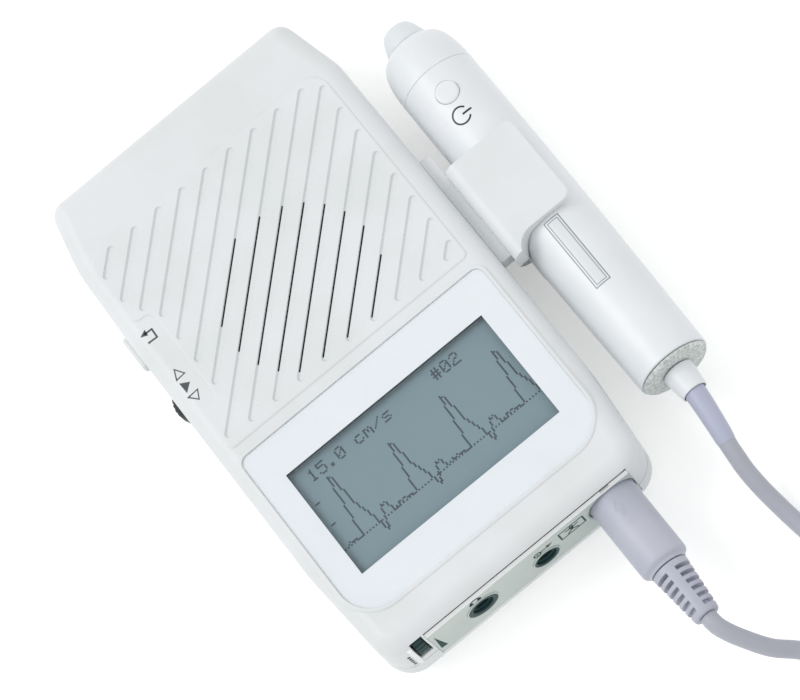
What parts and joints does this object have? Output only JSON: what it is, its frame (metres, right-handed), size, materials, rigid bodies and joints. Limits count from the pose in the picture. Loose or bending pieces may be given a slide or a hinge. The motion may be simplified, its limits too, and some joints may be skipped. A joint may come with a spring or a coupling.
{
  "type": "bidirectional doppler",
  "caption": "Pocket ultrasound doppler with a display, diagonal speaker grille and side keys; its pencil probe sits in a side clip and its cable is plugged in and coiled.",
  "frame": {"origin": "on the table plane, under the middle of the unit with its probe and clip, the cord, coil and plug left out", "axes": "+X from the unit towards the clipped probe, +Y from the sockets towards the speaker end, +Z out of the front face"},
  "size_m": [0.1418, 0.2532, 0.0275],
  "materials": {
    "white_abs": "fine moulded texture, near-white",
    "grey_abs": "fine moulded texture, pale grey",
    "clear_acrylic": "smooth",
    "lcd_glass": "smooth, grey-green liquid crystal display",
    "black_nylon": "moulded",
    "teal_nylon": "moulded, dark",
    "circuit_board": "solder mask",
    "steel": "nickel plated",
    "lilac_pvc": "soft moulded",
    "grey_pvc": "soft, slightly glossy",
    "paper": "pressed paper and cloth",
    "ferrite": "sintered",
    "cell_wrap": "printed film, plain",
    "ceramic": "ground ceramic",
    "resin": "cast"
  },
  "bodies": {
    "unit": {"front_shell": "white_abs", "rear_shell": "white_abs", "case_screw_1": "steel", "case_screw_2": "steel", "case_screw_3": "steel", "case_screw_4": "steel", "display_window": "clear_acrylic", "lcd_glass": "lcd_glass", "lcd_frame": "black_nylon", "lcd_backlight": "clear_acrylic", "main_board": "circuit_board", "speaker_cloth": "paper", "speaker_frame": "steel", "speaker_cone": "paper", "speaker_magnet": "ferrite", "battery_1": "cell_wrap", "battery_2": "cell_wrap", "battery_contact_negative": "steel", "battery_contact_positive": "steel", "battery_contact_bridge": "steel", "return_switch": "black_nylon", "jog_switch": "black_nylon", "volume_pot": "black_nylon", "connector_panel": "grey_abs", "earphone_jack": "teal_nylon", "output_jack": "teal_nylon", "probe_socket": "black_nylon", "holder_base": "white_abs", "probe_holder": "white_abs", "probe_cord": "grey_pvc", "cord_coil": "grey_pvc", "plug_cord": "grey_pvc", "plug_relief": "grey_pvc", "plug_body": "lilac_pvc", "plug_shell": "steel", "plug_insert": "black_nylon"},
    "probe": {"probe_body": "white_abs", "probe_head": "white_abs", "probe_tip": "white_abs", "crystal_send": "ceramic", "crystal_receive": "ceramic", "probe_backing": "resin", "probe_board": "circuit_board", "probe_switch": "black_nylon", "probe_end_cap": "black_nylon", "cable_collar": "white_abs", "cable_sleeve": "lilac_pvc"},
    "battery_cover": {"battery_cover": "white_abs"},
    "return_button": {"return_button": "white_abs"},
    "jog_carrier": {"jog_carrier": "black_nylon"},
    "jog_lever": {"jog_lever": "black_nylon"},
    "volume_wheel": {"volume_wheel": "teal_nylon"},
    "probe_button": {"probe_button": "white_abs"}
  },
  "joints": [
    {"name": "battery_cover_slide", "type": "slide", "parent": "unit", "child": "battery_cover", "axis": [0, 1, 0], "range_m": [0, 0.06]},
    {"name": "return_button_press", "type": "slide", "parent": "unit", "child": "return_button", "axis": [1, 0, 0], "range_m": [0, 0.0005], "stiffness_N_per_m": 2000, "springref_m": -0.0002},
    {"name": "jog_press", "type": "slide", "parent": "unit", "child": "jog_carrier", "axis": [1, 0, 0], "range_m": [0, 0.0005], "stiffness_N_per_m": 2000, "springref_m": -0.0002},
    {"name": "jog_rock", "type": "hinge", "parent": "jog_carrier", "child": "jog_lever", "pos_m": [-0.0434, 0.0106, 0.0205], "axis": [0, 0, 1], "range_deg": [-12, 12], "stiffness_Nm_per_rad": 0.02},
    {"name": "volume_turn", "type": "hinge", "parent": "unit", "child": "volume_wheel", "pos_m": [-0.0386, -0.0609, 0.0188], "axis": [1, 0, 0], "range_deg": [-135, 135]},
    {"name": "probe_pull", "type": "slide", "parent": "unit", "child": "probe", "axis": [1, 0, 0], "range_m": [0, 0.022], "deforming": ["probe_cord"]},
    {"name": "probe_button_press", "type": "slide", "parent": "probe", "child": "probe_button", "axis": [0, 0, -1], "range_m": [0, 0.0004], "stiffness_N_per_m": 3000, "springref_m": -0.0002}
  ]
}
